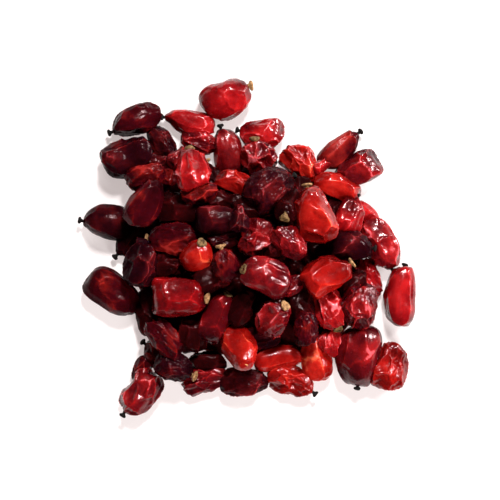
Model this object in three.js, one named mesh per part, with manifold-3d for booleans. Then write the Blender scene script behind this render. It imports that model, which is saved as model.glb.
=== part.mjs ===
// A loose heap of dried barberries, lying as tipped out on a flat surface.
// Units are millimetres, +Z is up, the surface is z = 0 and the origin is the middle of the footprint.
// The heap is one solid: a low core mound with every berry that shows fused on at its true size.

import * as THREE from 'three';
import { mergeVertices } from 'three/addons/utils/BufferGeometryUtils.js';
import Module from 'manifold-3d';

// How a berry is shaped
const FLATTENING = 0.9;        // a berry's height over its width
const BLUNTNESS = 2.7;         // 2 is an ellipsoid, more squares the ends off
const DENT_DEPTH = 0.2;        // deepest hollow of the shrunken skin, over the radius
const SHALLOWEST = 0.35;       // shallowest hollow over the deepest one
const GOLDEN_TURN = Math.PI * (3 - Math.sqrt(5));      // spreads the hollows evenly over a berry
const TURN_SHIFT = 1.1;        // how far a hollow may be turned from its even place, in radians
const HEIGHT_SHIFT = 0.5;      // how far it may be moved along the berry, over their spacing
const PLUMPNESS = 1.08;        // makes up for the skin that the hollows take away
const NARROWING = 0.13;        // how much slimmer a berry is at the end that had the stalk
const LARGE_FROM = 5.3;        // width from which a berry has more sides
const SIDES = { large: [9, 6], small: [8, 5] };
const FACETS = { broad: 9, folded: 13, fine: 16 };      // skin hollows round one berry

// How the heap lies
const SQUEEZE = 0.74;          // distance between two touching berries over the sum of their radii
const SINK = 0.2;              // flat spot pressed on the bottom of a berry that lies on the surface
const BEDDING = 0.35;          // part of its radius that a berry keeps above the core mound
const FOLLOW = 0.6;            // how much of the mound's slope a berry takes on
const REACH = 0.64;            // outermost point of a berry's axis that is tested for contact

// The core mound
const CORE_HEIGHT = 8;
const CORE_CENTRE = [-1.5, -3.0];
const CORE_RADII = [24, 24, 24, 18, 18, 21, 25, 23, 21.5, 20.5, 22.5, 18.5, 18, 20, 24, 24.5];
const CORE_RINGS = 4;

// Stalk stubs and withered flower ends
const STUBS = {
  black: { neck: 0.5, end: 1.0, length: 1.4 },
  tan: { neck: 0.8, end: 0.6, length: 1.5 },
  olive: { neck: 0.8, end: 0.9, length: 0.7 },
};
const STUB_SIDES = 5;
const STUB_ROOT = 0.8;         // how deep a stub starts inside its berry

const WELD_WITHIN = 1e-4;      // corners closer than this are one corner
const MERGE_WITHIN = 0.06;     // details smaller than this are smoothed away after joining

// Each berry that shows. Columns: x and y of the middle, heading of the stub end (degrees, 0 is
// +X), how far that end is lifted, length, width, skin, stub.
// These lie on the surface, clockwise round the rim from the far left corner.
const ON_SURFACE = [
  [-21.6, 15.5, 200, 0, 8.6, 7.2, 'broad', ''],
  [-20.4, 22.7, 204, 0, 8.6, 5.0, 'broad', 'black'],
  [-16.2, 15.3, 0, 0, 6.1, 4.0, 'fine', ''],
  [-15.9, 18.7, 125, 0, 6.8, 4.5, 'fine', ''],
  [-10.7, 22.2, 170, 0, 8.7, 4.2, 'broad', 'black'],
  [-4.2, 26.5, 28, 0, 8.1, 6.4, 'broad', 'tan'],
  [-9.2, 18.9, 340, 0, 6.3, 4.2, 'folded', ''],
  [2.1, 20.2, 180, 0, 7.2, 5.2, 'broad', 'black'],
  [-4.0, 17.1, 105, 0, 7.9, 5.0, 'broad', 'black'],
  [9.1, 14.4, 305, 0, 7.8, 5.6, 'folded', ''],
  [16.2, 17.3, 41, 0, 8.1, 4.3, 'broad', 'black'],
  [19.3, 14.0, 208, 0, 7.9, 5.5, 'broad', ''],
  [20.5, 5.9, 325, 0, 5.4, 3.7, 'broad', ''],
  [23.0, 0.5, 300, 0, 9.1, 5.9, 'broad', 'black'],
  [26.5, -9.0, 88, 0, 9.9, 5.8, 'broad', 'black'],
  [21.0, -5.7, 300, 0, 6.9, 4.3, 'folded', ''],
  [19.1, -19.3, 262, 0, 9.9, 7.4, 'broad', 'black'],
  [25.0, -21.4, 70, 0, 7.9, 6.5, 'folded', ''],
  [11.8, -19.7, 97, 0, 8.3, 5.2, 'broad', ''],
  [7.2, -23.9, 340, 0, 8.0, 5.1, 'folded', 'black'],
  [-1.2, -24.1, 5, 0, 8.2, 5.0, 'fine', ''],
  [-7.7, -23.8, 12, 0, 8.1, 4.4, 'folded', ''],
  [-19.2, -26.0, 235, 0, 8.5, 6.0, 'broad', 'black'],
  [-19.2, -21.8, 75, 0, 4.9, 3.3, 'broad', ''],
  [-15.9, -19.2, 155, 0, 5.9, 5.0, 'broad', 'black'],
  [-24.2, -8.2, 325, 0, 9.4, 6.1, 'broad', ''],
  [-25.3, 4.4, 175, 0, 8.3, 5.8, 'broad', 'black'],
  [-21.6, 1.4, 228, 0, 6.2, 3.9, 'broad', 'black'],
];

// These are piled on those and on the middle of the heap, from the bottom to the top.
const PILED = [
  // In the dark gaps
  [8.6, 9.0, 90, 0, 6.5, 4.7, 'broad', ''],
  [-12.6, 6.5, 0, 0, 7.9, 5.4, 'broad', ''],
  [-6.3, 11.7, 110, 0, 6.5, 3.6, 'folded', 'tan'],
  [-4.0, 7.6, 0, 0, 6.5, 4.0, 'broad', ''],
  [0, 5.8, 0, 0, 7.2, 4.3, 'broad', ''],
  [6.8, 6.5, 255, 30, 6.5, 4.7, 'broad', 'olive'],
  [4.5, 0.2, 90, 0, 5.8, 4.3, 'broad', ''],
  [-6.5, -6.3, 20, 0, 6.8, 4.7, 'broad', ''],
  [-15.1, -3.8, 20, 0, 7.2, 4.7, 'folded', ''],
  [-1.3, -11.3, 60, 0, 6.5, 4.3, 'broad', ''],
  [9.0, -11.3, 100, 0, 7.6, 4.7, 'broad', ''],
  [18.0, -7.6, 70, 0, 7.2, 4.7, 'broad', ''],
  [-10.4, -16.0, 90, 0, 6.1, 5.0, 'broad', ''],
  [-18.2, -11.5, 100, 0, 8.3, 4.4, 'folded', ''],
  [-7.6, -20.5, 0, 0, 6.5, 4.0, 'broad', ''],
  [14.9, 5.8, 80, 0, 6.5, 3.2, 'broad', ''],
  // Half way up
  [1.6, 15.6, 93, 40, 7.0, 6.0, 'folded', 'olive'],
  [12.6, 14.2, 35, 0, 3.6, 2.2, 'broad', ''],
  [15.7, 10.6, 158, 0, 8.3, 4.3, 'broad', ''],
  [17.7, 5.4, 75, 0, 6.5, 4.7, 'broad', 'black'],
  [19.2, -10.7, 70, 0, 7.7, 6.1, 'folded', ''],
  [-13.5, -21.5, 340, 0, 6.7, 5.0, 'fine', 'tan'],
  [-14.4, 13.1, 75, 0, 5.2, 3.4, 'folded', ''],
  [-12.6, 15.7, 50, 0, 4.5, 3.0, 'folded', ''],
  [-18.5, 12.0, 15, 0, 6.8, 4.7, 'fine', ''],
  [-18.2, 7.2, 55, 0, 8.5, 5.5, 'broad', ''],
  [-19.4, -3.3, 85, 0, 8.3, 5.9, 'broad', ''],
  [-5.8, 4.0, 0, 0, 7.2, 5.0, 'broad', ''],
  [-1.8, 4.1, 90, 0, 4.5, 3.2, 'broad', ''],
  [-2.8, 11.2, 160, 0, 6.1, 4.0, 'broad', ''],
  [-4.3, 0.7, 10, 0, 6.1, 3.2, 'folded', ''],
  [-4.3, -4.0, 108, 25, 5.6, 4.3, 'fine', 'tan'],
  [7.0, -0.1, 310, 0, 6.5, 4.7, 'fine', ''],
  [17.5, 0, 0, 30, 7.6, 5.4, 'broad', 'black'],
  [7.2, -7.4, 20, 0, 4.7, 3.2, 'folded', ''],
  [9.9, -15.1, 90, 0, 6.1, 4.0, 'fine', ''],
  [2.2, -16.4, 5, 0, 6.1, 3.6, 'folded', ''],
  [4.7, -19.6, 12, 0, 7.9, 4.7, 'broad', ''],
  [-14.9, -16.7, 305, 0, 7.9, 4.5, 'fine', ''],
  [-5.9, -13.1, 66, 0, 8.8, 4.9, 'broad', 'olive'],
  [-9.0, 9.0, 10, 0, 6.1, 4.0, 'folded', ''],
  [14.3, -17.0, 80, 0, 5.0, 4.1, 'fine', ''],
  // On top
  [-9.9, 13.1, 95, 0, 7.4, 5.8, 'broad', 'olive'],
  [3.1, 10.0, 35, 0, 9.2, 6.8, 'fine', 'black'],
  [11.0, 4.9, 108, 0, 9.2, 6.7, 'broad', 'tan'],
  [1.0, 1.0, 250, 0, 6.6, 5.8, 'folded', ''],
  [-13.3, 0.9, 172, 0, 8.6, 5.6, 'fine', 'tan'],
  [-9.5, -2.3, 62, 45, 6.0, 5.1, 'broad', 'olive'],
  [2.9, -5.9, 158, 21, 8.1, 5.9, 'broad', 'olive'],
  [13.2, -5.3, 28, 0, 8.8, 6.0, 'broad', 'tan'],
  [13.9, -11.5, 288, 25, 6.9, 5.2, 'folded', 'olive'],
  [3.8, -13.0, 55, 35, 7.2, 6.0, 'folded', 'tan'],
  [-1.9, -18.2, 292, 62, 9.4, 5.8, 'broad', ''],
  [-12.8, -9.5, 0, 0, 9.0, 6.6, 'broad', 'tan'],
];

// Small helpers
const radians = (degrees) => degrees * Math.PI / 180;

// A repeatable number from 0 to 1 for a berry and a count
function chance(seed, count) {
  const wave = Math.sin(seed * 12.9898 + count * 78.233) * 43758.5453;
  return wave - Math.floor(wave);
}

// Radius of the core mound's outline in one direction, eased between its corners
function coreRadius(angle) {
  const step = angle / (2 * Math.PI) * CORE_RADII.length;
  const low = Math.floor(step);
  const blend = (1 - Math.cos((step - low) * Math.PI)) / 2;
  const count = CORE_RADII.length;
  const from = CORE_RADII[((low % count) + count) % count];
  const to = CORE_RADII[(((low + 1) % count) + count) % count];
  return from + (to - from) * blend;
}

// Height of the core mound over a point, zero outside its outline
function coreHeight(x, y) {
  const [dx, dy] = [x - CORE_CENTRE[0], y - CORE_CENTRE[1]];
  const share = Math.hypot(dx, dy) / coreRadius(Math.atan2(dy, dx));
  return CORE_HEIGHT * Math.max(0, 1 - share * share);
}

// The points along a berry's axis that can touch something, each with its radius there
function contacts(berry) {
  return [-1, -0.5, 0, 0.5, 1].map((place) => {
    const along = place * REACH * berry.length / 2;
    const radius = berry.width / 2 * (1 + FLATTENING) / 2 * Math.sqrt(1 - (place * REACH) ** 2);
    const flat = along * Math.cos(berry.lean);
    return {
      x: berry.x + flat * Math.cos(berry.heading),
      y: berry.y + flat * Math.sin(berry.heading),
      z: berry.z + along * Math.sin(berry.lean),
      rise: along * Math.sin(berry.lean),
      radius,
    };
  });
}

// A berry from its row, with its middle at height 0 until it is placed
function makeBerry(row, index) {
  const [x, y, heading, lift, length, width, skin, stub] = row;
  return {
    x, y, z: 0, heading: radians(heading), lean: radians(lift), length, width, skin, stub,
    seed: index + 1,
  };
}

// Lowest height of a berry's middle at which it clears the surface, the mound and other berries
function restHeight(berry, others) {
  let height = 0;
  for (const own of contacts(berry)) {
    height = Math.max(height, own.radius - own.rise - SINK);
    const bed = coreHeight(own.x, own.y);
    if (bed > 0) height = Math.max(height, bed + own.radius * BEDDING - own.rise);
    for (const other of others.flatMap(contacts)) {
      const apart = SQUEEZE * (own.radius + other.radius);
      const gap = Math.hypot(own.x - other.x, own.y - other.y);
      if (gap < apart) {
        height = Math.max(height, other.z + Math.sqrt(apart ** 2 - gap ** 2) - own.rise);
      }
    }
  }
  return height;
}

// Lays the rim on the surface and lowers the others one after another until they touch
function settle() {
  const placed = ON_SURFACE.map(makeBerry);
  for (const berry of placed) berry.z = berry.width / 2 * FLATTENING - SINK;
  for (const row of PILED) {
    const berry = makeBerry(row, placed.length);
    const [ux, uy] = [Math.cos(berry.heading), Math.sin(berry.heading)];
    const slope = coreHeight(berry.x + ux, berry.y + uy) - coreHeight(berry.x - ux, berry.y - uy);
    berry.lean += Math.atan(slope / 2) * FOLLOW;
    berry.z = restHeight(berry, placed);
    placed.push(berry);
  }
  return placed;
}

// Middles of the skin hollows, spread evenly round a berry and then shifted a little
function hollowMiddles(berry) {
  const count = FACETS[berry.skin];
  return Array.from({ length: count }, (_, k) => {
    const moved = HEIGHT_SHIFT * (chance(berry.seed, k) - 0.5);
    const height = 1 - (2 * (k + 0.5) - moved) / count;
    const turn = k * GOLDEN_TURN + TURN_SHIFT * chance(berry.seed, k + 40);
    const ring = Math.sqrt(Math.max(0, 1 - height * height));
    const depth = DENT_DEPTH * (SHALLOWEST + (1 - SHALLOWEST) * chance(berry.seed, k + 80));
    return { at: new THREE.Vector3(height, ring * Math.cos(turn), ring * Math.sin(turn)), depth };
  });
}

// Where the skin lies in one direction from a berry's middle, in the berry's own axes
function skinPoint(direction, berry, hollows) {
  const near = hollows.map((hollow) => ({ hollow, far: hollow.at.distanceTo(direction) }));
  near.sort((one, two) => one.far - two.far);
  const edge = near[0].far / near[1].far;
  const dent = near[0].hollow.depth * (1 - edge * edge);
  const across = Math.hypot(direction.y, direction.z);
  const blunt = (Math.abs(direction.x) ** BLUNTNESS + across ** BLUNTNESS) ** (-1 / BLUNTNESS);
  const reach = PLUMPNESS * blunt * (1 - dent);
  const slim = 1 - NARROWING * direction.x;
  return new THREE.Vector3(
    berry.length / 2 * reach * direction.x,
    berry.width / 2 * reach * direction.y * slim,
    berry.width / 2 * FLATTENING * reach * direction.z * slim,
  );
}

// Position and turn of a berry in the heap
function pose(berry) {
  const matrix = new THREE.Matrix4().makeRotationZ(berry.heading);
  matrix.multiply(new THREE.Matrix4().makeRotationY(-berry.lean));
  return matrix.setPosition(berry.x, berry.y, berry.z);
}

function berryGeometry(berry) {
  const sides = berry.width > LARGE_FROM ? SIDES.large : SIDES.small;
  const geometry = new THREE.SphereGeometry(1, ...sides).rotateZ(-Math.PI / 2);
  const places = geometry.attributes.position;
  const hollows = hollowMiddles(berry);
  const matrix = pose(berry);
  for (let i = 0; i < places.count; i += 1) {
    const direction = new THREE.Vector3().fromBufferAttribute(places, i).normalize();
    const point = skinPoint(direction, berry, hollows).applyMatrix4(matrix);
    places.setXYZ(i, point.x, point.y, point.z);
  }
  return geometry;
}

// A stub is a short cone on the berry's end, spread like a cap where the flower has withered
function stubGeometry(berry) {
  const { neck, end, length } = STUBS[berry.stub];
  const geometry = new THREE.CylinderGeometry(end, neck, length + STUB_ROOT, STUB_SIDES);
  geometry.rotateZ(-Math.PI / 2);
  geometry.translate((berry.length + length - STUB_ROOT) / 2, 0, 0);
  return geometry.applyMatrix4(pose(berry));
}

function coreGeometry() {
  const profile = [new THREE.Vector2(0, CORE_HEIGHT)];
  for (let ring = 1; ring <= CORE_RINGS; ring += 1) {
    const share = ring / CORE_RINGS;
    profile.push(new THREE.Vector2(share, CORE_HEIGHT * (1 - share * share)));
  }
  profile.push(new THREE.Vector2(0, 0));
  const geometry = new THREE.LatheGeometry(profile, CORE_RADII.length);
  const places = geometry.attributes.position;
  for (let i = 0; i < places.count; i += 1) {
    const angle = Math.atan2(places.getZ(i), places.getX(i));
    const share = Math.hypot(places.getX(i), places.getZ(i));
    const radius = share * coreRadius(angle);
    const [x, y] = [CORE_CENTRE[0] + radius * Math.cos(angle), CORE_CENTRE[1] + radius * Math.sin(angle)];
    places.setXYZ(i, x, y, places.getY(i));
  }
  return geometry;
}

// Joining
const wasm = await Module();
wasm.setup();

function solid(geometry) {
  const bare = geometry.clone();
  bare.deleteAttribute('normal');
  bare.deleteAttribute('uv');
  const merged = mergeVertices(bare, WELD_WITHIN);
  const mesh = new wasm.Mesh({
    numProp: 3,
    vertProperties: merged.attributes.position.array,
    triVerts: new Uint32Array(merged.index.array),
  });
  return new wasm.Manifold(mesh);
}

// Keeps the outer skin of a joined solid, so that pockets closed off inside the heap are filled
function outerSkin(joined) {
  const mesh = joined.getMesh();
  const owner = Array.from({ length: mesh.numVert }, (_, i) => i);
  const find = (i) => {
    while (owner[i] !== i) {
      owner[i] = owner[owner[i]];
      i = owner[i];
    }
    return i;
  };
  for (let t = 0; t < mesh.triVerts.length; t += 3) {
    const [a, b, c] = mesh.triVerts.subarray(t, t + 3);
    owner[find(a)] = find(b);
    owner[find(b)] = find(c);
  }
  const sizes = new Map();
  for (let t = 0; t < mesh.triVerts.length; t += 3) {
    const root = find(mesh.triVerts[t]);
    sizes.set(root, (sizes.get(root) ?? 0) + 1);
  }
  const largest = [...sizes].sort((one, two) => two[1] - one[1])[0][0];
  const kept = [];
  for (let t = 0; t < mesh.triVerts.length; t += 3) {
    if (find(mesh.triVerts[t]) === largest) kept.push(...mesh.triVerts.subarray(t, t + 3));
  }
  const geometry = new THREE.BufferGeometry();
  geometry.setAttribute('position', new THREE.BufferAttribute(mesh.vertProperties, mesh.numProp));
  geometry.setIndex(kept);
  return geometry;
}

function heapGeometry() {
  const berries = settle();
  const stubs = berries.filter((berry) => berry.stub).map(stubGeometry);
  const pieces = [coreGeometry(), ...berries.map(berryGeometry), ...stubs];
  const joined = wasm.Manifold.union(pieces.map(solid));
  const rested = joined.trimByPlane([0, 0, 1], 0).simplify(MERGE_WITHIN);
  return outerSkin(rested);
}

const heap = new THREE.Mesh(
  heapGeometry(),
  new THREE.MeshStandardMaterial({ color: 0x8c1018, roughness: 0.35, metalness: 0 }),
);
heap.name = 'barberry_heap';

const dried_barberries = new THREE.Group();
dried_barberries.add(heap);

export default dried_barberries;
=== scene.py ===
import math

import bpy
import numpy as np
from mathutils import Euler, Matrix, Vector


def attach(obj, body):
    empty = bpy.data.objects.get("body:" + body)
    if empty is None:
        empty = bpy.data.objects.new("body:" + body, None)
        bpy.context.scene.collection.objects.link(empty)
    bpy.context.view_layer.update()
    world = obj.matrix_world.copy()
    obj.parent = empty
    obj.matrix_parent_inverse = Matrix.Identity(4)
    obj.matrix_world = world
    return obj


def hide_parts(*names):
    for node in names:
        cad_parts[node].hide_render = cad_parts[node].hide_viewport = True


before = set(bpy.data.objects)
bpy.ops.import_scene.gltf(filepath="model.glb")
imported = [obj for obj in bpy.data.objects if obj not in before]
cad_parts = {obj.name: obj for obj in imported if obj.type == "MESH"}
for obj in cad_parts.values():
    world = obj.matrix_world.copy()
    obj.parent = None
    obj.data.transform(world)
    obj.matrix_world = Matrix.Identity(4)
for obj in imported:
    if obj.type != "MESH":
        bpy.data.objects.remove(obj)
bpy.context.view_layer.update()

# How the berries lie
# Dried barberries tipped out on a flat surface make a low heap, three to four berries deep.
# The rim lies on the surface, and each other berry is lowered until it rests on what is there.
MM = 0.001
FLATTENING = 0.9        # a berry's height over its width
SQUEEZE = 0.74          # distance between two touching berries over the sum of their radii
SINK = 0.2              # flat spot pressed on the bottom of a berry that lies on the surface
BEDDING = 0.35          # part of its radius that a berry keeps above the core mound
FOLLOW = 0.6            # how much of the mound's slope a berry takes on
REACH = 0.64            # outermost point of a berry's axis that is tested for contact
CORE_HEIGHT = 8
CORE_CENTRE = (-1.5, -3.0)
CORE_RADII = (24, 24, 24, 18, 18, 21, 25, 23, 21.5, 20.5, 22.5, 18.5, 18, 20, 24, 24.5)

# Columns, in millimetres and degrees: x and y of the middle, heading of the stub end (0 is +X),
# how far that end is lifted, length, width, colour, skin, pattern of its hollows, stub
ON_SURFACE = [
    (-21.6, 15.5, 200, 0, 8.6, 7.2, "deep oxblood", "broad", 19, ""),
    (-20.4, 22.7, 204, 0, 8.6, 5.0, "deep garnet", "broad", 4, "black"),
    (-16.2, 15.3, 0, 0, 6.1, 4.0, "oxblood", "fine", 3, ""),
    (-15.9, 18.7, 125, 0, 6.8, 4.5, "oxblood", "fine", 4, ""),
    (-10.7, 22.2, 170, 0, 8.7, 4.2, "scarlet", "smooth", 18, "black"),
    (-4.2, 26.5, 28, 0, 8.1, 6.4, "deep scarlet", "smooth", 11, "tan"),
    (-9.2, 18.9, 340, 0, 6.3, 4.2, "crimson", "folded", 5, ""),
    (2.1, 20.2, 180, 0, 7.2, 5.2, "scarlet", "broad", 9, "black"),
    (-4.0, 17.1, 105, 0, 7.9, 5.0, "crimson", "boxy", 4, "black"),
    (9.1, 14.4, 305, 0, 7.8, 5.6, "orange", "folded", 12, ""),
    (16.2, 17.3, 41, 0, 8.1, 4.3, "bright garnet", "smooth", 28, "black"),
    (19.3, 14.0, 208, 0, 7.9, 5.5, "crimson", "broad", 16, ""),
    (20.5, 5.9, 325, 0, 5.4, 3.7, "bright scarlet", "smooth", 7, ""),
    (23.0, 0.5, 300, 0, 9.1, 5.9, "bright crimson", "broad", 15, "black"),
    (26.5, -9.0, 88, 0, 9.9, 5.8, "deep scarlet", "smooth", 19, "black"),
    (21.0, -5.7, 300, 0, 6.9, 4.3, "scarlet", "folded", 16, ""),
    (19.1, -19.3, 262, 0, 9.9, 7.4, "deep crimson", "smooth", 5, "black"),
    (25.0, -21.4, 70, 0, 7.9, 6.5, "deep orange", "folded", 28, ""),
    (11.8, -19.7, 97, 0, 8.3, 5.2, "bright orange", "smooth", 15, ""),
    (7.2, -23.9, 340, 0, 8.0, 5.1, "deep orange", "folded", 20, "black"),
    (-1.2, -24.1, 5, 0, 8.2, 5.0, "bright oxblood", "fine", 16, ""),
    (-7.7, -23.8, 12, 0, 8.1, 4.4, "deep crimson", "folded", 12, ""),
    (-19.2, -26.0, 235, 0, 8.5, 6.0, "crimson", "broad", 24, "black"),
    (-19.2, -21.8, 75, 0, 4.9, 3.3, "deep garnet", "broad", 24, ""),
    (-15.9, -19.2, 155, 0, 5.9, 5.0, "garnet", "broad", 25, "black"),
    (-24.2, -8.2, 325, 0, 9.4, 6.1, "deep garnet", "smooth", 14, ""),
    (-25.3, 4.4, 175, 0, 8.3, 5.8, "oxblood", "smooth", 4, "black"),
    (-21.6, 1.4, 228, 0, 6.2, 3.9, "deep oxblood", "smooth", 28, "black"),
]
IN_GAPS = [
    (8.6, 9.0, 90, 0, 6.5, 4.7, "oxblood", "broad", 29, ""),
    (-12.6, 6.5, 0, 0, 7.9, 5.4, "oxblood", "broad", 30, ""),
    (-6.3, 11.7, 110, 0, 6.5, 3.6, "oxblood", "folded", 31, "tan"),
    (-4.0, 7.6, 0, 0, 6.5, 4.0, "oxblood", "broad", 32, ""),
    (0, 5.8, 0, 0, 7.2, 4.3, "oxblood", "broad", 33, ""),
    (6.8, 6.5, 255, 30, 6.5, 4.7, "oxblood", "broad", 34, "olive"),
    (4.5, 0.2, 90, 0, 5.8, 4.3, "oxblood", "broad", 35, ""),
    (-6.5, -6.3, 20, 0, 6.8, 4.7, "oxblood", "broad", 36, ""),
    (-15.1, -3.8, 20, 0, 7.2, 4.7, "oxblood", "folded", 37, ""),
    (-1.3, -11.3, 60, 0, 6.5, 4.3, "oxblood", "broad", 38, ""),
    (9.0, -11.3, 100, 0, 7.6, 4.7, "oxblood", "broad", 39, ""),
    (18.0, -7.6, 70, 0, 7.2, 4.7, "oxblood", "broad", 40, ""),
    (-10.4, -16.0, 90, 0, 6.1, 5.0, "oxblood", "broad", 41, ""),
    (-18.2, -11.5, 100, 0, 8.3, 4.4, "oxblood", "folded", 42, ""),
    (-7.6, -20.5, 0, 0, 6.5, 4.0, "oxblood", "broad", 43, ""),
    (14.9, 5.8, 80, 0, 6.5, 3.2, "garnet", "broad", 44, ""),
]
HALF_WAY = [
    (1.6, 15.6, 93, 40, 7.0, 6.0, "crimson", "folded", 3, "olive"),
    (12.6, 14.2, 35, 0, 3.6, 2.2, "deep scarlet", "broad", 46, ""),
    (15.7, 10.6, 158, 0, 8.3, 4.3, "deep orange", "smooth", 3, ""),
    (17.7, 5.4, 75, 0, 6.5, 4.7, "deep scarlet", "broad", 14, "black"),
    (19.2, -10.7, 70, 0, 7.7, 6.1, "crimson", "folded", 13, ""),
    (-13.5, -21.5, 340, 0, 6.7, 5.0, "deep oxblood", "fine", 50, "tan"),
    (-14.4, 13.1, 75, 0, 5.2, 3.4, "bright garnet", "folded", 51, ""),
    (-12.6, 15.7, 50, 0, 4.5, 3.0, "crimson", "folded", 52, ""),
    (-18.5, 12.0, 15, 0, 6.8, 4.7, "garnet", "fine", 5, ""),
    (-18.2, 7.2, 55, 0, 8.5, 5.5, "deep garnet", "smooth", 28, ""),
    (-19.4, -3.3, 85, 0, 8.3, 5.9, "deep oxblood", "broad", 17, ""),
    (-5.8, 4.0, 0, 0, 7.2, 5.0, "oxblood", "smooth", 16, ""),
    (-1.8, 4.1, 90, 0, 4.5, 3.2, "oxblood", "broad", 57, ""),
    (-2.8, 11.2, 160, 0, 6.1, 4.0, "deep orange", "broad", 3, ""),
    (-4.3, 0.7, 10, 0, 6.1, 3.2, "bright oxblood", "folded", 59, ""),
    (-4.3, -4.0, 108, 25, 5.6, 4.3, "garnet", "fine", 60, "tan"),
    (7.0, -0.1, 310, 0, 6.5, 4.7, "crimson", "fine", 12, ""),
    (17.5, 0, 0, 30, 7.6, 5.4, "deep oxblood", "smooth", 13, "black"),
    (7.2, -7.4, 20, 0, 4.7, 3.2, "crimson", "folded", 63, ""),
    (9.9, -15.1, 90, 0, 6.1, 4.0, "deep garnet", "fine", 64, ""),
    (2.2, -16.4, 5, 0, 6.1, 3.6, "oxblood", "folded", 65, ""),
    (4.7, -19.6, 12, 0, 7.9, 4.7, "deep orange", "smooth", 19, ""),
    (-14.9, -16.7, 305, 0, 7.9, 4.5, "garnet", "fine", 23, ""),
    (-5.9, -13.1, 66, 0, 8.8, 4.9, "deep crimson", "smooth", 16, "olive"),
    (-9.0, 9.0, 10, 0, 6.1, 4.0, "bright garnet", "folded", 69, ""),
    (14.3, -17.0, 80, 0, 5.0, 4.1, "bright scarlet", "fine", 23, ""),
]
ON_TOP = [
    (-9.9, 13.1, 95, 0, 7.4, 5.8, "scarlet", "broad", 28, "olive"),
    (3.1, 10.0, 35, 0, 9.2, 6.8, "bright oxblood", "fine", 27, "black"),
    (11.0, 4.9, 108, 0, 9.2, 6.7, "deep orange", "broad", 13, "tan"),
    (1.0, 1.0, 250, 0, 6.6, 5.8, "bright crimson", "folded", 15, ""),
    (-13.3, 0.9, 172, 0, 8.6, 5.6, "garnet", "fine", 5, "tan"),
    (-9.5, -2.3, 62, 45, 6.0, 5.1, "orange", "smooth", 4, "olive"),
    (2.9, -5.9, 158, 21, 8.1, 5.9, "crimson", "boxy", 5, "olive"),
    (13.2, -5.3, 28, 0, 8.8, 6.0, "deep orange", "boxy", 18, "tan"),
    (13.9, -11.5, 288, 25, 6.9, 5.2, "bright scarlet", "folded", 5, "olive"),
    (3.8, -13.0, 55, 35, 7.2, 6.0, "crimson", "folded", 9, "tan"),
    (-1.9, -18.2, 292, 62, 9.4, 5.8, "orange", "smooth", 20, "scar"),
    (-12.8, -9.5, 0, 0, 9.0, 6.6, "deep scarlet", "boxy", 16, "tan"),
]


def core_radius(angle):
    """Radius of the core mound's outline in one direction, eased between its corners."""
    step = angle / math.tau * len(CORE_RADII)
    low = math.floor(step)
    ease = (1 - math.cos((step - low) * math.pi)) / 2
    start = CORE_RADII[low % len(CORE_RADII)]
    end = CORE_RADII[(low + 1) % len(CORE_RADII)]
    return start + (end - start) * ease


def core_height(x, y):
    """Height of the core mound over a point, zero outside its outline."""
    dx, dy = x - CORE_CENTRE[0], y - CORE_CENTRE[1]
    share = math.hypot(dx, dy) / core_radius(math.atan2(dy, dx))
    return CORE_HEIGHT * max(0, 1 - share * share)


def contact_points(berry):
    """Points on a berry's axis that can touch something, as x, y, height above its middle, radius."""
    points = []
    for place in (-REACH, -REACH / 2, 0, REACH / 2, REACH):
        along = place * berry["length"] / 2
        flat = along * math.cos(berry["lean"])
        points.append((
            berry["x"] + flat * math.cos(berry["heading"]),
            berry["y"] + flat * math.sin(berry["heading"]),
            along * math.sin(berry["lean"]),
            berry["width"] / 2 * (1 + FLATTENING) / 2 * math.sqrt(1 - place * place),
        ))
    return points


def rest_height(berry, others):
    """Lowest height of a berry's middle at which it clears the surface, the mound and the others."""
    height = 0
    for x, y, rise, radius in contact_points(berry):
        height = max(height, radius - rise - SINK)
        bed = core_height(x, y)
        if bed > 0:
            height = max(height, bed + radius * BEDDING - rise)
        for other in others:
            for other_x, other_y, other_rise, other_radius in contact_points(other):
                apart = SQUEEZE * (radius + other_radius)
                gap = math.hypot(x - other_x, y - other_y)
                if gap < apart:
                    step = math.sqrt(apart ** 2 - gap ** 2)
                    height = max(height, other["z"] + other_rise + step - rise)
    return height


berries = []
for level, rows in (("surface", ON_SURFACE), ("gap", IN_GAPS), ("middle", HALF_WAY), ("top", ON_TOP)):
    for x, y, heading, lift, length, width, colour, skin, pattern, stub in rows:
        tone, _, colour = colour.rpartition(" ")
        berry = {
            "x": x, "y": y, "z": 0, "heading": math.radians(heading), "lean": math.radians(lift),
            "length": length, "width": width, "tone": tone, "colour": colour, "skin": skin,
            "stub": stub, "level": level, "pattern": pattern,
        }
        if level == "surface":
            berry["z"] = width / 2 * FLATTENING - SINK
        else:
            ux, uy = math.cos(berry["heading"]), math.sin(berry["heading"])
            # The mound's slope is taken over the 2 mm round the berry's middle
            climb = core_height(x + ux, y + uy) - core_height(x - ux, y - uy)
            berry["lean"] += math.atan(climb / 2) * FOLLOW
            berry["z"] = rest_height(berry, berries)
        berries.append(berry)


# The skins
# A dried barberry is a thin tough skin that has sunk between stiff ridges as the pulp under it
# shrank, with a net of finer wrinkles on the driest ones. It is oblong and blunt at both ends.
PLUMPNESS = 1.1         # makes up for the skin that the hollows take away
NARROWING = 0.13        # how much slimmer a berry is at its stub end
HOLLOW_SWAY = 0.4       # how far the ridges stray from the straight sides of a net
RIDGE_SHARPNESS = 14.0  # the higher, the narrower the crest that is painted pale, as wear and as a highlight
WRINKLES = (2.0, 3.4, 3.4)      # over a berry's radius: fewer along it than round it
WRINKLE_SWAY = 1.4      # how far the wrinkles stray
LUMP = 0.07             # how far a berry is out of round, over its radius
HELD_UP = 0.25          # share of the dents that is left where the stub holds the skin
BOW_SIDEWAYS = 0.5      # how far the ends may bend to one side, over the radius
BOW_UPWARDS = 0.4       # how far they may bend up or down, over the radius
FALLEN_ALONG = 0.5      # how far the fallen side may turn from the top towards the ends
FALLEN_ROUND = 1.6      # how far it may turn from the top round the berry
FALL_SCATTER = 2        # depth of the deepest fallen side over the usual one of its skin
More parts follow.
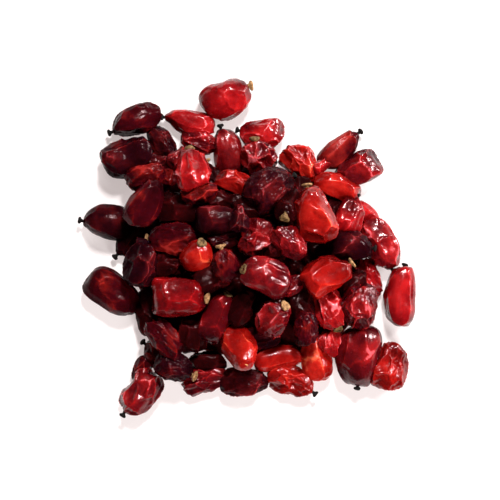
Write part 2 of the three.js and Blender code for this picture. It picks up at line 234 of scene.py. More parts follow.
BLUNT_SCATTER = 0.8     # how differently blunt the berries of one skin are
HOLLOW_LENGTH = 0.65    # the lower, the longer the hollows are along the berry
HOLLOW_SCATTER = 0.6    # how much of that is added at most
TONE_SCATTER = 0.1      # how much lighter or darker two berries of one tone are
# Deep and bright: partly each berry's own colour, partly painted shade for berries that lie in shade
# and painted light for berries that catch the light
TONES = {"deep": -0.14, "": 0, "bright": 0.14}
# How each skin has dried: hollows over a berry's radius, their depth, the depth of wrinkles, of the
# finest creases and of one fallen side, all over its radius, and how blunt the ends are, where
# 2 is an ellipsoid
SKINS = {
    "smooth": (0.8, 0.13, 0.01, 0.002, 0.06, 2.7),
    "broad": (0.9, 0.24, 0.012, 0.002, 0.08, 2.9),
    "boxy": (0.85, 0.17, 0.014, 0.002, 0.08, 3.8),
    "folded": (1.2, 0.27, 0.045, 0.006, 0.2, 2.6),
    "fine": (1.15, 0.16, 0.085, 0.012, 0.08, 2.5),
}


def add(tree, kind, inputs=None, **settings):
    """Adds a node with its settings, its inputs set to values or linked, and gives its outputs."""
    made = tree.nodes.new(kind)
    for name, value in settings.items():
        setattr(made, name, value)
    for name, value in (inputs or {}).items():
        if isinstance(value, bpy.types.NodeSocket):
            tree.links.new(value, made.inputs[name])
        else:
            made.inputs[name].default_value = value
    return made.outputs


def crumpled_berry_tree():
    """Geometry Nodes that grow a crumpled berry on each point of a mesh."""
    tree = bpy.data.node_groups.new("crumpled berry", "GeometryNodeTree")
    tree.interface.new_socket("Geometry", in_out="INPUT", socket_type="NodeSocketGeometry")
    tree.interface.new_socket("Points per side", in_out="INPUT", socket_type="NodeSocketInt")
    tree.interface.new_socket("Narrowing", in_out="INPUT", socket_type="NodeSocketFloat")
    tree.interface.new_socket("Plumpness", in_out="INPUT", socket_type="NodeSocketFloat")
    tree.interface.new_socket("Skin", in_out="INPUT", socket_type="NodeSocketMaterial")
    tree.interface.new_socket("Geometry", in_out="OUTPUT", socket_type="NodeSocketGeometry")
    given = add(tree, "NodeGroupInput")
    own = {}
    for name, data_type in (
            ("outward", "FLOAT_VECTOR"), ("middle", "FLOAT_VECTOR"), ("turn", "FLOAT_VECTOR"),
            ("half", "FLOAT_VECTOR"), ("bow", "FLOAT_VECTOR"), ("skin", "FLOAT_VECTOR"),
            ("fallen", "FLOAT_VECTOR"), ("fall", "FLOAT"), ("crease", "FLOAT"),
            ("blunt", "FLOAT"), ("stretch", "FLOAT"), ("seed", "FLOAT")):
        own[name] = add(tree, "GeometryNodeInputNamedAttribute", {"Name": name},
                        data_type=data_type)[0]

    # A ball of even faces on every point
    count = given["Points per side"]
    cube = add(tree, "GeometryNodeMeshCube", {
        "Size": (2, 2, 2), "Vertices X": count, "Vertices Y": count, "Vertices Z": count})
    place = add(tree, "GeometryNodeInputPosition")[0]
    outward = add(tree, "ShaderNodeVectorMath", {0: place}, operation="NORMALIZE")[0]
    ball = add(tree, "GeometryNodeStoreNamedAttribute", {
        "Geometry": cube["Mesh"], "Name": "outward", "Value": outward},
        data_type="FLOAT_VECTOR", domain="POINT")
    spread = add(tree, "GeometryNodeInstanceOnPoints", {
        "Points": given["Geometry"], "Instance": ball["Geometry"]})
    joined = add(tree, "GeometryNodeRealizeInstances", {"Geometry": spread["Instances"]})["Geometry"]

    # Each berry's own sizes come from the point that it grew on, and its pattern from its seed
    outward = own["outward"]
    shift = add(tree, "ShaderNodeVectorMath", {0: (3.1, 7.7, 5.3), "Scale": own["seed"]},
                operation="SCALE")[0]
    skin = add(tree, "ShaderNodeSeparateXYZ", {0: own["skin"]})

    # Broad hollows between stiff ridges, longer along the berry than round it
    long = add(tree, "ShaderNodeCombineXYZ", {"X": own["stretch"], "Y": 1.0, "Z": 1.0})[0]
    long = add(tree, "ShaderNodeVectorMath", {0: outward, 1: long}, operation="MULTIPLY")[0]
    cells = add(tree, "ShaderNodeVectorMath", {0: long, "Scale": skin["X"]}, operation="SCALE")[0]
    cells = add(tree, "ShaderNodeVectorMath", {0: cells, 1: shift}, operation="ADD")[0]
    sway = add(tree, "ShaderNodeTexNoise", {"Vector": cells, "Scale": 1.7, "Detail": 1.5})["Color"]
    sway = add(tree, "ShaderNodeVectorMath", {0: sway, 1: (0.5, 0.5, 0.5)}, operation="SUBTRACT")[0]
    cells = add(tree, "ShaderNodeVectorMath", {0: sway, 1: (HOLLOW_SWAY,) * 3, 2: cells},
                operation="MULTIPLY_ADD")[0]
    first = add(tree, "ShaderNodeTexVoronoi", {"Vector": cells, "Scale": 1}, feature="F1")["Distance"]
    second = add(tree, "ShaderNodeTexVoronoi", {"Vector": cells, "Scale": 1}, feature="F2")["Distance"]
    share = add(tree, "ShaderNodeMath", {0: first, 1: second}, operation="DIVIDE")[0]
    share = add(tree, "ShaderNodeMath", {0: share, 1: 2.0}, operation="POWER")[0]
    hollow = add(tree, "ShaderNodeMath", {0: 1.0, 1: share}, operation="SUBTRACT", use_clamp=True)[0]
    ridge = add(tree, "ShaderNodeMath", {0: share, 1: RIDGE_SHARPNESS}, operation="POWER")[0]
    dent = add(tree, "ShaderNodeMath", {0: hollow, 1: skin["Y"]}, operation="MULTIPLY")[0]

    # A net of wrinkles in patches
    net = add(tree, "ShaderNodeVectorMath", {0: outward, 1: WRINKLES, 2: shift},
              operation="MULTIPLY_ADD")[0]
    sway = add(tree, "ShaderNodeTexNoise", {"Vector": net, "Scale": 1.3, "Detail": 2})["Color"]
    net = add(tree, "ShaderNodeVectorMath", {0: sway, 1: (WRINKLE_SWAY,) * 3, 2: net},
              operation="MULTIPLY_ADD")[0]
    first = add(tree, "ShaderNodeTexVoronoi", {"Vector": net, "Scale": 1}, feature="F1")["Distance"]
    second = add(tree, "ShaderNodeTexVoronoi", {"Vector": net, "Scale": 1}, feature="F2")["Distance"]
    share = add(tree, "ShaderNodeMath", {0: first, 1: second}, operation="DIVIDE")[0]
    share = add(tree, "ShaderNodeMath", {0: share, 1: 2.0}, operation="POWER")[0]
    wrinkle = add(tree, "ShaderNodeMath", {0: 1.0, 1: share}, operation="SUBTRACT", use_clamp=True)[0]
    patch = add(tree, "ShaderNodeTexNoise", {"Vector": cells, "Scale": 1.1, "Detail": 1})["Fac"]
    patch = add(tree, "ShaderNodeMapRange", {
        "Value": patch, "From Min": 0.38, "From Max": 0.58, "To Min": 0.25, "To Max": 1.0})[0]
    wrinkle = add(tree, "ShaderNodeMath", {0: wrinkle, 1: patch}, operation="MULTIPLY")[0]
    dent = add(tree, "ShaderNodeMath", {0: wrinkle, 1: skin["Z"], 2: dent}, operation="MULTIPLY_ADD")[0]

    # The finest creases
    crease = add(tree, "ShaderNodeTexNoise", {
        "Vector": net, "Scale": 2.6, "Detail": 3, "Roughness": 0.6})["Fac"]
    crease = add(tree, "ShaderNodeMath", {0: crease, 1: own["crease"]}, operation="MULTIPLY")[0]
    dent = add(tree, "ShaderNodeMath", {0: dent, 1: crease}, operation="ADD")[0]

    # Slow lumps that take a berry out of round
    lump = add(tree, "ShaderNodeTexNoise", {"Vector": cells, "Scale": 0.9, "Detail": 0})["Fac"]
    lump = add(tree, "ShaderNodeMapRange", {
        "Value": lump, "From Min": 0.3, "From Max": 0.7, "To Min": LUMP, "To Max": -LUMP})[0]
    dent = add(tree, "ShaderNodeMath", {0: dent, 1: lump}, operation="ADD")[0]

    # One side has fallen in
    side = add(tree, "ShaderNodeVectorMath", {0: outward, 1: own["fallen"]},
               operation="DOT_PRODUCT")["Value"]
    side = add(tree, "ShaderNodeMapRange", {
        "Value": side, "From Min": 0.35, "From Max": 1.0, "To Min": 0.0, "To Max": 1.0},
        interpolation_type="SMOOTHSTEP")[0]
    dent = add(tree, "ShaderNodeMath", {0: side, 1: own["fall"], 2: dent},
               operation="MULTIPLY_ADD")[0]

    # The skin stays up where the stub holds it
    along = add(tree, "ShaderNodeSeparateXYZ", {0: outward})["X"]
    held = add(tree, "ShaderNodeMapRange", {
        "Value": along, "From Min": 0.86, "From Max": 0.985, "To Min": 1.0, "To Max": HELD_UP},
        interpolation_type="SMOOTHSTEP")[0]
    dent = add(tree, "ShaderNodeMath", {0: dent, 1: held}, operation="MULTIPLY")[0]

    # Blunt oblong body, slimmer at the stub end
    blunt = own["blunt"]
    size = add(tree, "ShaderNodeMath", {0: along}, operation="ABSOLUTE")[0]
    size = add(tree, "ShaderNodeMath", {0: size, 1: blunt}, operation="POWER")[0]
    across = add(tree, "ShaderNodeVectorMath", {0: outward, 1: (0, 1, 1)}, operation="MULTIPLY")[0]
    across = add(tree, "ShaderNodeVectorMath", {0: across}, operation="LENGTH")["Value"]
    across = add(tree, "ShaderNodeMath", {0: across, 1: blunt}, operation="POWER")[0]
    size = add(tree, "ShaderNodeMath", {0: size, 1: across}, operation="ADD")[0]
    power = add(tree, "ShaderNodeMath", {0: -1.0, 1: blunt}, operation="DIVIDE")[0]
    size = add(tree, "ShaderNodeMath", {0: size, 1: power}, operation="POWER")[0]
    size = add(tree, "ShaderNodeMath", {0: size, 1: given["Plumpness"]}, operation="MULTIPLY")[0]
    left = add(tree, "ShaderNodeMath", {0: 1.0, 1: dent}, operation="SUBTRACT")[0]
    size = add(tree, "ShaderNodeMath", {0: size, 1: left}, operation="MULTIPLY")[0]
    slim = add(tree, "ShaderNodeMath", {0: along, 1: given["Narrowing"]}, operation="MULTIPLY")[0]
    slim = add(tree, "ShaderNodeMath", {0: 1.0, 1: slim}, operation="SUBTRACT")[0]
    slim = add(tree, "ShaderNodeCombineXYZ", {"X": 1.0, "Y": slim, "Z": slim})[0]

    skin_place = add(tree, "ShaderNodeVectorMath", {0: outward, 1: own["half"]},
                     operation="MULTIPLY")[0]
    skin_place = add(tree, "ShaderNodeVectorMath", {0: skin_place, 1: slim}, operation="MULTIPLY")[0]
    skin_place = add(tree, "ShaderNodeVectorMath", {0: skin_place, "Scale": size},
                     operation="SCALE")[0]

    # Kidney shapes: the ends bend to one side
    bow = add(tree, "ShaderNodeMath", {0: along, 1: 2.0}, operation="POWER")[0]
    bow = add(tree, "ShaderNodeVectorMath", {0: own["bow"], "Scale": bow}, operation="SCALE")[0]
    skin_place = add(tree, "ShaderNodeVectorMath", {0: skin_place, 1: bow}, operation="ADD")[0]

    # Into the heap, and flat where it would reach below the surface. The skin's colour is made
    # from the dent, the ridge, the place along the berry and the side that faces up, which carries
    # painted light on the top and painted shade on the underside.
    turn = add(tree, "FunctionNodeEulerToRotation", {0: own["turn"]})[0]
    turned = add(tree, "FunctionNodeRotateVector", {"Vector": skin_place, "Rotation": turn})[0]
    final = add(tree, "ShaderNodeVectorMath", {0: turned, 1: own["middle"]}, operation="ADD")[0]
    painted_light_from_above = add(tree, "FunctionNodeRotateVector", {"Vector": outward, "Rotation": turn})[0]
    painted_light_from_above = add(tree, "ShaderNodeSeparateXYZ", {0: painted_light_from_above})["Z"]
    final = add(tree, "ShaderNodeVectorMath", {0: final, 1: (-1, -1, 0)}, operation="MAXIMUM")[0]
    moved = add(tree, "GeometryNodeSetPosition", {"Geometry": joined, "Position": final})["Geometry"]
    marked = add(tree, "GeometryNodeStoreNamedAttribute", {
        "Geometry": moved, "Name": "dent", "Value": dent}, data_type="FLOAT", domain="POINT")[0]
    marked = add(tree, "GeometryNodeStoreNamedAttribute", {
        "Geometry": marked, "Name": "ridge", "Value": ridge}, data_type="FLOAT", domain="POINT")[0]
    marked = add(tree, "GeometryNodeStoreNamedAttribute", {
        "Geometry": marked, "Name": "along", "Value": along}, data_type="FLOAT", domain="POINT")[0]
    marked = add(tree, "GeometryNodeStoreNamedAttribute", {
        "Geometry": marked, "Name": "painted_light_from_above", "Value": painted_light_from_above}, data_type="FLOAT", domain="POINT")[0]
    smooth = add(tree, "GeometryNodeSetShadeSmooth", {"Geometry": marked})[0]
    skinned = add(tree, "GeometryNodeSetMaterial", {"Geometry": smooth, "Material": given["Skin"]})[0]
    add(tree, "NodeGroupOutput", {"Geometry": skinned})
    return tree


def linear(code):
    """A colour written as sRGB hex, as the linear values that a shader takes."""
    values = [int(code[i:i + 2], 16) / 255 for i in (1, 3, 5)]
    return [v / 12.92 if v <= 0.04045 else ((v + 0.055) / 1.055) ** 2.4 for v in values] + [1]


# The finish of the skins: sizes of what shows on them, and how the colours share the range from the
# deepest fold, darkened with painted shade, to the palest crest, lightened with painted highlights
PATCH_SIZE = 4 * MM             # soft patches where the pulp under the skin is thin
MOTTLE_SIZE = 1.1 * MM
CREASE_SIZE = 0.9 * MM          # leathery creases, this long and finer
CREASE_DEPTH = 0.15 * MM
GLOW_DEPTH = 1.2 * MM           # how far red light travels in the pulp
DEEP_AT, BODY_AT, THIN_AT, CREST_AT = 0.15, 0.55, 0.88, 1.0
SKIN_SHINE = 1.1                # shine of the bare skin over that of the clear film on it


def dried_skin(name, deep, body, thin, crest_and_highlight, gloss, blur):
    """Dried fruit skin: darkest in its folds with painted shade, lighter and warmer where it is thin,
    paler on its crests with wear and painted highlights, and with a clear film of dried juice that
    has its own gloss and blur."""
    material = bpy.data.materials.new(name)
    material.use_nodes = True
    tree = material.node_tree
    shader = tree.nodes["Principled BSDF"]
    place = add(tree, "ShaderNodeTexCoord")["Object"]
    tone = add(tree, "ShaderNodeAttribute", attribute_name="tone")["Fac"]
    dent = add(tree, "ShaderNodeAttribute", attribute_name="dent")["Fac"]
    ridge = add(tree, "ShaderNodeAttribute", attribute_name="ridge")["Fac"]
    end = add(tree, "ShaderNodeAttribute", attribute_name="along")["Fac"]
    painted_light_from_above = add(tree, "ShaderNodeAttribute", attribute_name="painted_light_from_above")["Fac"]

    # Where the pulp is thin the skin is lighter, in soft patches with a finer mottle
    patch = add(tree, "ShaderNodeTexNoise", {
        "Vector": place, "Scale": 1 / PATCH_SIZE, "Detail": 2.5, "Roughness": 0.5})["Fac"]
    mottle = add(tree, "ShaderNodeTexNoise", {
        "Vector": place, "Scale": 1 / MOTTLE_SIZE, "Detail": 4, "Roughness": 0.7})["Fac"]
    # Painted shade: the deeper the hollow, the darker the skin
    light = add(tree, "ShaderNodeMapRange", {
        "Value": dent, "From Min": -0.03, "From Max": 0.25, "To Min": -0.03, "To Max": -0.28})[0]
    light = add(tree, "ShaderNodeMath", {0: patch, 1: 1.06, 2: light}, operation="MULTIPLY_ADD")[0]
    light = add(tree, "ShaderNodeMath", {0: mottle, 1: 0.52, 2: light}, operation="MULTIPLY_ADD")[0]

    # Here and there a ridge is paler, partly worn skin and partly a painted highlight
    wear_and_highlight = add(tree, "ShaderNodeMapRange", {
        "Value": patch, "From Min": 0.42, "From Max": 0.62, "To Min": 0.04, "To Max": 0.4})[0]
    light = add(tree, "ShaderNodeMath", {0: ridge, 1: wear_and_highlight, 2: light}, operation="MULTIPLY_ADD")[0]

    # The pulp has settled to the ends, which are darker. The underside is darker with painted shade,
    # and the top lighter with painted light.
    end = add(tree, "ShaderNodeMath", {0: end, 1: end}, operation="MULTIPLY")[0]
    light = add(tree, "ShaderNodeMath", {0: end, 1: -0.2, 2: light}, operation="MULTIPLY_ADD")[0]
    painted_light_from_above = add(tree, "ShaderNodeMapRange", {
        "Value": painted_light_from_above, "From Min": 0.0, "From Max": 1.0, "To Min": -0.2, "To Max": 0.1})[0]
    light = add(tree, "ShaderNodeMath", {0: light, 1: painted_light_from_above}, operation="ADD")[0]
    light = add(tree, "ShaderNodeMath", {0: light, 1: tone}, operation="ADD")[0]
    colour = add(tree, "ShaderNodeValToRGB", {"Fac": light})["Color"]
    ramp = colour.node.color_ramp
    ramp.elements[0].position = DEEP_AT
    ramp.elements[0].color = linear(deep)
    ramp.elements[1].position = CREST_AT
    ramp.elements[1].color = linear(crest_and_highlight)
    ramp.elements.new(BODY_AT).color = linear(body)
    ramp.elements.new(THIN_AT).color = linear(thin)
    tree.links.new(colour, shader.inputs["Base Color"])

    # Fine leathery creases, which also break up the shine
    creases = add(tree, "ShaderNodeTexNoise", {
        "Vector": place, "Scale": 1 / CREASE_SIZE, "Detail": 4, "Roughness": 0.6})["Fac"]
    bump = add(tree, "ShaderNodeBump", {
        "Strength": 0.4, "Distance": CREASE_DEPTH, "Height": creases})
    tree.links.new(bump["Normal"], shader.inputs["Normal"])
    tree.links.new(bump["Normal"], shader.inputs["Coat Normal"])
    polish = add(tree, "ShaderNodeMapRange", {
        "Value": creases, "From Min": 0.3, "From Max": 0.7, "To Min": 0.16, "To Max": 0.3})[0]
    tree.links.new(polish, shader.inputs["Roughness"])

    # Sugary skin, about as dense as dried syrup, that lets red light through and little else
    shader.inputs["IOR"].default_value = 1.48
    shader.inputs["Specular IOR Level"].default_value = gloss * SKIN_SHINE
    shader.inputs["Specular Tint"].default_value = linear("#FFC0C2")
    shader.inputs["Coat Weight"].default_value = gloss
    shader.inputs["Coat Roughness"].default_value = blur
    shader.inputs["Subsurface Weight"].default_value = 0.45
    shader.inputs["Subsurface Radius"].default_value = (1.0, 0.1, 0.06)
    shader.inputs["Subsurface Scale"].default_value = GLOW_DEPTH
    return material


def chance(seed, count):
    """A repeatable number from 0 to 1 for a berry's seed and the count of the draw."""
    wave = math.sin(seed * 12.9898 + count * 78.233) * 43758.5453
    return wave - math.floor(wave)


def turn_of(berry):
    """A berry's turn in the heap: first its lean, then its heading."""
    return Euler((0, -berry["lean"], berry["heading"]))


def bow_of(berry):
    """How far the ends of a berry bend to one side."""
    half = berry["width"] / 2
    sideways = half * BOW_SIDEWAYS * (chance(berry["pattern"], 3) - 0.5)
    upwards = half * BOW_UPWARDS * (chance(berry["pattern"], 4) - 0.5)
    return Vector((0, sideways, upwards))


def fallen_side(berry):
    """The direction of the side that has fallen in, mostly the one on top."""
    along = FALLEN_ALONG * (chance(berry["pattern"], 6) - 0.5)
    across = FALLEN_ROUND * (chance(berry["pattern"], 7) - 0.5)
    return Vector((along, across, 1)).normalized()


def grow_berries(name, chosen, material, count):
    """One piece of all the chosen berries, as a plain mesh."""
    middle = np.array([(b["x"], b["y"], b["z"]) for b in chosen]) * MM
    mesh = bpy.data.meshes.new(name)
    mesh.from_pydata(middle.tolist(), [], [])
    half = [(b["length"] / 2, b["width"] / 2, b["width"] / 2 * FLATTENING) for b in chosen]
    columns = {
        "middle": middle,
        "turn": np.array([turn_of(b)[:] for b in chosen]),
        "half": np.array(half) * MM,
        "bow": np.array([bow_of(b)[:] for b in chosen]) * MM,
        "skin": np.array([SKINS[b["skin"]][:3] for b in chosen]),
        "crease": np.array([SKINS[b["skin"]][3] for b in chosen]),
        "fall": np.array([SKINS[b["skin"]][4] * FALL_SCATTER * chance(b["pattern"], 8)
                          for b in chosen]),
        "fallen": np.array([fallen_side(b)[:] for b in chosen]),
        "blunt": np.array([SKINS[b["skin"]][5] + BLUNT_SCATTER * (chance(b["pattern"], 9) - 0.5)
                           for b in chosen]),
        "stretch": np.array([HOLLOW_LENGTH + HOLLOW_SCATTER * chance(b["pattern"], 10)
                             for b in chosen]),
        "seed": np.array([float(b["pattern"]) for b in chosen]),
        "tone": np.array([TONES[b["tone"]] + TONE_SCATTER * (chance(b["pattern"], 5) - 0.5)
                          for b in chosen]),
    }
    for column, values in columns.items():
        vector = values.ndim == 2
        made = mesh.attributes.new(column, "FLOAT_VECTOR" if vector else "FLOAT", "POINT")
        made.data.foreach_set("vector" if vector else "value", values.ravel())
    points = bpy.data.objects.new(name + "_points", mesh)
    bpy.context.collection.objects.link(points)
    modifier = points.modifiers.new("berries", "NODES")
    modifier.node_group = BERRY_TREE
    inputs = {
        "Points per side": count, "Narrowing": NARROWING, "Plumpness": PLUMPNESS, "Skin": material,
    }
    for item in BERRY_TREE.interface.items_tree:
        if item.in_out == "INPUT" and item.name in inputs:
            modifier[item.identifier] = inputs[item.name]
    evaluated = points.evaluated_get(bpy.context.evaluated_depsgraph_get())
    grown = bpy.data.meshes.new_from_object(evaluated)
    for attribute in ["outward"] + [column for column in columns if column != "tone"]:
        grown.attributes.remove(grown.attributes[attribute])
    bpy.data.objects.remove(points)
    piece = bpy.data.objects.new(name, grown)
    bpy.context.collection.objects.link(piece)
    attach(piece, "root")
    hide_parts("barberry_heap")


BERRY_TREE = crumpled_berry_tree()

# Colours from the deepest fold, darkened with painted shade, over the body and the thin skin to
# the crests, paler with painted highlights, then gloss and blur.
# Picked early and dried thin: the pale pulp shows through as orange red, under a clear gloss.
orange_skin = dried_skin(
    "orange_red_dried_skin", "#4A0303", "#800A07", "#A81C14", "#D05034", 0.24, 0.08)
# Ripe and dried fast: clear scarlet with pink crests, partly painted highlights, and the
# wettest-looking gloss in the heap.
scarlet_skin = dried_skin(
    "scarlet_dried_skin", "#3C0205", "#76060A", "#A01416", "#DC6066", 0.26, 0.08)
# Ripe with thicker pulp: a deep cold red that turns nearly black in the folds with painted shade,
# still glossy.
crimson_skin = dried_skin(
    "crimson_dried_skin", "#200105", "#50050A", "#861012", "#BC4A50", 0.23, 0.08)
# Overripe: brownish red, and a duller film that leaves broad weak highlights.
garnet_skin = dried_skin(
    "garnet_dried_skin", "#1A0205", "#340308", "#68100E", "#861E1A", 0.06, 0.12)
# The darkest and leatheriest: nearly black with a plum cast, and a faint sheen on the ridges,
# a painted highlight over a faint gloss.
oxblood_skin = dried_skin(
    "oxblood_dried_skin", "#120205", "#200307", "#460A0C", "#702024", 0.035, 0.12)
# The oxblood skin darker still for the gaps: painted shade where the other berries shade it,
# and it hardly shines.
shaded_skin = dried_skin(
    "shaded_dried_skin", "#120203", "#200304", "#340507", "#4C1014", 0.035, 0.12)

# Each kind with its colour in the rows above, its finish and the points per side of its berries,
# fewer where a kind has many berries
KINDS = (
    ("orange_berries", "orange", orange_skin, 36),
    ("scarlet_berries", "scarlet", scarlet_skin, 33),
    ("crimson_berries", "crimson", crimson_skin, 33),
    ("garnet_berries", "garnet", garnet_skin, 30),
    ("oxblood_berries", "oxblood", oxblood_skin, 33),
)
SHADED_POINTS = 21      # per side: little of these shows

for name, colour, skin, count in KINDS:
    shown = [b for b in berries if b["colour"] == colour and b["level"] != "gap"]
    grow_berries(name, shown, skin, count)
# The berries in the gaps get the skin with painted shade
in_gaps = [b for b in berries if b["level"] == "gap"]
grow_berries("shaded_berries", in_gaps, shaded_skin, SHADED_POINTS)

# The heart of the heap
# What the gaps let through between the berries is more of the same dark fruit. It is a low mound
# of skins pressed together, smaller than the heap, and hardly any light reaches it.
CORE_SHARE = 0.9        # its size over that of the mound that the berries were laid on
CORE_BUMP = 0.7         # height of its bumps in mm
CORE_RINGS = 60
CORE_SPOKES = 180


def core_mound():
    """A closed mound with berry-sized bumps on its top and a flat underside."""
    spots = [(0, 0, 0)]
    for ring in range(1, CORE_RINGS + 1):
        for spoke in range(CORE_SPOKES):
            angle = spoke / CORE_SPOKES * math.tau
            share = ring / CORE_RINGS
            radius = share * core_radius(angle) * CORE_SHARE
            spots.append((radius * math.cos(angle), radius * math.sin(angle), share))
    verts = []
    for x, y, share in spots:
        height = (CORE_HEIGHT * CORE_SHARE) * (1 - share * share)
        # Bumps 4 to 5 mm apart that die away towards the rim
        bump = math.sin(x * 1.3 + math.sin(y * 0.9)) * math.sin(y * 1.5 + math.sin(x * 1.1))
        height = max(0, height + CORE_BUMP * bump * (1 - share ** 6))
        verts.append(((x + CORE_CENTRE[0]) * MM, (y + CORE_CENTRE[1]) * MM, height * MM))
    faces = [(0, 1 + s, 1 + (s + 1) % CORE_SPOKES) for s in range(CORE_SPOKES)]
    for ring in range(CORE_RINGS - 1):
        inner = 1 + ring * CORE_SPOKES
        outer = inner + CORE_SPOKES
        for s in range(CORE_SPOKES):
            after = (s + 1) % CORE_SPOKES
            faces.append((inner + s, outer + s, outer + after, inner + after))
    last = 1 + (CORE_RINGS - 1) * CORE_SPOKES
    verts.append((CORE_CENTRE[0] * MM, CORE_CENTRE[1] * MM, 0))
    faces += [(len(verts) - 1, last + (s + 1) % CORE_SPOKES, last + s) for s in range(CORE_SPOKES)]
    mesh = bpy.data.meshes.new("heap_core")
    mesh.from_pydata(verts, [], faces)
    mesh.shade_smooth()
    return mesh


core = bpy.data.objects.new("heap_core", core_mound())
# The core gets the same skin with painted shade
core.data.materials.append(shaded_skin)
bpy.context.collection.objects.link(core)
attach(core, "root")
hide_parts("barberry_heap")

# Stubs and withered flower ends
# One end of a barberry keeps the flower's black withered cap, and the other the dry tan stub of
# its stalk or the round scar that it left. Each profile is a row of distance and radius in mm.
STUB_SIDES = 28
STUB_SEAT = 0.94        # where its foot sits, over the half length of the berry
STUB_FLATTEST = 0.7     # height of the flattest stub over its width
STUB_STRETCH = 0.4      # how much longer than its profile a stub may be
STUB_NOD = 0.7          # angle between the furthest nods to either side, in radians
STUB_RIBS = 0.1         # depth of its three ribs over its radius
STUB_NICKS = 0.05       # depth of the seven nicks in its edge over its radius
STUB_PROFILES = {
    "black": [(-0.9, 0.4), (-0.05, 0.36), (0.25, 0.26), (0.4, 0.3), (0.5, 0.5), (0.62, 0.6),
              (0.8, 0.58), (0.9, 0.42), (0.86, 0)],
    "tan": [(-0.9, 0.5), (-0.05, 0.42), (0.2, 0.34), (0.36, 0.42), (0.46, 0.74), (0.58, 0.92),
            (0.74, 0.94), (0.86, 0.8), (0.8, 0.6), (0.6, 0.34), (0.56, 0)],
    "scar": [(-0.5, 0.5), (-0.1, 0.74), (0.04, 0.72), (0.1, 0.58), (0.02, 0.42), (0.0, 0.3),
             (0.1, 0.2), (0.1, 0)],
    "olive": [(-0.9, 0.6), (-0.1, 0.64), (0.02, 0.78), (0.18, 0.9), (0.36, 0.88), (0.46, 0.7),
              (0.38, 0.48), (0.2, 0.28), (0.18, 0)],
}
FIBRE_SIZE = 0.5 * MM   # coarser than real fibres, so that they show
FIBRE_DEPTH = 0.1 * MM


def withered(name, dark, light, roughness):
    """Dry plant fibre, matt and unevenly darkened."""
    material = bpy.data.materials.new(name)
    material.use_nodes = True
    tree = material.node_tree
    shader = tree.nodes["Principled BSDF"]
    place = add(tree, "ShaderNodeTexCoord")["Object"]
    streak = add(tree, "ShaderNodeTexNoise", {
        "Vector": place, "Scale": 1 / FIBRE_SIZE, "Detail": 4, "Roughness": 0.7})["Fac"]
    colour = add(tree, "ShaderNodeValToRGB", {"Fac": streak})["Color"]
    ramp = colour.node.color_ramp
    ramp.elements[0].position = 0.35
    ramp.elements[0].color = linear(dark)
    ramp.elements[1].position = 0.65
    ramp.elements[1].color = linear(light)
    tree.links.new(colour, shader.inputs["Base Color"])
    bump = add(tree, "ShaderNodeBump", {
        "Strength": 0.6, "Distance": FIBRE_DEPTH, "Height": streak})
    tree.links.new(bump["Normal"], shader.inputs["Normal"])
    shader.inputs["Roughness"].default_value = roughness
    shader.inputs["Specular IOR Level"].default_value = 0.15
    return material


def stub_mesh(name, chosen, profile):
    """All stubs of one kind, turned round their axis with ragged sides, as one mesh."""
    verts, faces = [], []
    for berry in chosen:
        seed = berry["pattern"]
        turn = turn_of(berry).to_matrix()
        middle = Vector((berry["x"], berry["y"], berry["z"]))
        tip = Vector((berry["length"] / 2 * PLUMPNESS * STUB_SEAT, 0, 0)) + bow_of(berry)
        squash = STUB_FLATTEST + (1 - STUB_FLATTEST) * chance(seed, 11)
        stretch = 1 + STUB_STRETCH * chance(seed, 14)
        nod_down = STUB_NOD * (chance(seed, 12) - 0.5)
        nod_sideways = STUB_NOD * (chance(seed, 13) - 0.5)
        nod = Euler((0, nod_down, nod_sideways)).to_matrix()
        first = len(verts)
        for step, (along, radius) in enumerate(profile[:-1]):
            for side in range(STUB_SIDES):
                angle = side / STUB_SIDES * math.tau
                ribs = STUB_RIBS * math.sin(3 * angle + seed)
                nicks = STUB_NICKS * math.sin(7 * angle + step)
                ragged = 1 + ribs + nicks
                y = radius * ragged * math.cos(angle)
                z = radius * ragged * math.sin(angle) * (squash if along > 0 else 1)
                spot = Vector((along * stretch if along > 0 else along, y, z))
                if along > 0:
                    spot = nod @ spot
                verts.append((turn @ (spot + tip) + middle) * MM)
        rings = len(profile) - 1
        for ring in range(rings - 1):
            for side in range(STUB_SIDES):
                a = first + ring * STUB_SIDES + side
                b = first + ring * STUB_SIDES + (side + 1) % STUB_SIDES
                faces.append((a, b, b + STUB_SIDES, a + STUB_SIDES))
        for spot in (Vector((profile[0][0], 0, 0)), nod @ Vector((profile[-1][0] * stretch, 0, 0))):
            verts.append((turn @ (spot + tip) + middle) * MM)
        top = first + (rings - 1) * STUB_SIDES
        for side in range(STUB_SIDES):
            after = (side + 1) % STUB_SIDES
            faces.append((len(verts) - 2, first + after, first + side))
            faces.append((len(verts) - 1, top + side, top + after))
    mesh = bpy.data.meshes.new(name)
    mesh.from_pydata(verts, [], faces)
    mesh.shade_smooth()
    return mesh


# Papery and almost black, so that the cap reads as a dark dot with hardly any shine.
black_flower = withered("black_withered_flower", "#030202", "#140D0B", 0.75)
# Bare dry wood: pale tan with darker fibres, the only light spots on the heap.
tan_stalk = withered("tan_dry_stalk", "#4A2E18", "#B0845A", 0.65)
# Corky ring on thin orange skin, a little smoother and warmer than the wood.
orange_scar = withered("orange_dry_scar", "#6A2010", "#D08A58", 0.5)
# Olive brown, a darker copy of the tan wood: painted shade for the stubs that sit in shade.
shaded_olive_scar = withered("shaded_olive_dry_scar", "#281A10", "#80603C", 0.65)

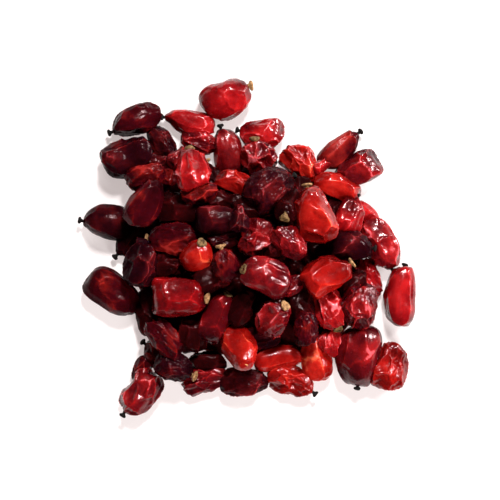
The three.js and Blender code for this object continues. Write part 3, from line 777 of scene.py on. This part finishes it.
STUB_KINDS = (
    ("flower_ends", "black", black_flower),
    ("stalk_stubs", "tan", tan_stalk),
    ("stalk_ring", "scar", orange_scar),
    ("stalk_scars", "olive", shaded_olive_scar),
)
for name, stub, material in STUB_KINDS:
    mesh = stub_mesh(name, [b for b in berries if b["stub"] == stub], STUB_PROFILES[stub])
    mesh.materials.append(material)
    piece = bpy.data.objects.new(name, mesh)
    bpy.context.collection.objects.link(piece)
    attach(piece, "root")
    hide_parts("barberry_heap")

# Floor, light and camera
# A white board that is bright even in the shade, a soft key light from behind, a lower light on
# the right, and a broad fill from the front that leaves no mark in the gloss. The camera looks
# almost straight down.
FLOOR_SIZE = 1.2                # metres
FRAME_WIDTH = 88.4 * MM         # what the picture shows from side to side
LENS = 200                      # mm
SENSOR = 36                     # mm
CAMERA_TILT = 85                # degrees above the horizon
AIM = Vector((0, -0.9 * MM, 6 * MM))

floor_mesh = bpy.data.meshes.new("floor")
edge = FLOOR_SIZE / 2
floor_mesh.from_pydata(
    [(-edge, -edge, 0), (edge, -edge, 0), (edge, edge, 0), (-edge, edge, 0)], [], [(0, 1, 2, 3)])
floor = bpy.data.objects.new("floor", floor_mesh)
bpy.context.collection.objects.link(floor)
# White matt board: no shine, and pale warm shadows
floor_paint = bpy.data.materials.new("white_matt_board")
floor_paint.use_nodes = True
floor_shader = floor_paint.node_tree.nodes["Principled BSDF"]
floor_shader.inputs["Base Color"].default_value = linear("#BEB9B8")
floor_shader.inputs["Emission Color"].default_value = linear("#FFF0EE")
floor_shader.inputs["Emission Strength"].default_value = 0.52
floor_shader.inputs["Roughness"].default_value = 0.9
floor_shader.inputs["Specular IOR Level"].default_value = 0.1
floor_mesh.materials.append(floor_paint)


def soft_light(name, azimuth, elevation, distance, width, height, power):
    """A soft box aimed at the heap, sizes in metres. Azimuth is counted from +X towards +Y."""
    data = bpy.data.lights.new(name, "AREA")
    data.shape = "RECTANGLE"
    data.size = width
    data.size_y = height
    data.energy = power
    light = bpy.data.objects.new(name, data)
    azimuth, elevation = math.radians(azimuth), math.radians(elevation)
    light.location = distance * Vector((
        math.cos(azimuth) * math.cos(elevation), math.sin(azimuth) * math.cos(elevation),
        math.sin(elevation)))
    light.rotation_euler = (AIM - light.location).to_track_quat("-Z", "Y").to_euler()
    bpy.context.collection.objects.link(light)
    return light


soft_light("key_light", 78, 54, 0.8, 0.12, 0.12, 9.4)
soft_light("window_light", 30, 20, 0.8, 0.19, 0.19, 8)
front_light = soft_light("front_light", 300, 36, 0.8, 0.25, 0.25, 7.5)
front_light.visible_glossy = False

# A little light from all round, as in a white room
world = bpy.data.worlds.new("studio")
world.use_nodes = True
world.node_tree.nodes["Background"].inputs["Color"].default_value = (1, 1, 1, 1)
world.node_tree.nodes["Background"].inputs["Strength"].default_value = 0.08
bpy.context.scene.world = world
bpy.context.scene.view_settings.view_transform = "Standard"

camera_data = bpy.data.cameras.new("camera")
camera_data.lens = LENS
camera_data.sensor_width = SENSOR
camera_data.clip_start = 0.01
camera = bpy.data.objects.new("camera", camera_data)
reach = FRAME_WIDTH / 2 / math.tan(camera_data.angle / 2)
tilt = math.radians(CAMERA_TILT)
camera.location = AIM + reach * Vector((0, -math.cos(tilt), math.sin(tilt)))
camera.rotation_euler = (math.pi / 2 - tilt, 0, 0)
bpy.context.collection.objects.link(camera)
bpy.context.scene.camera = camera
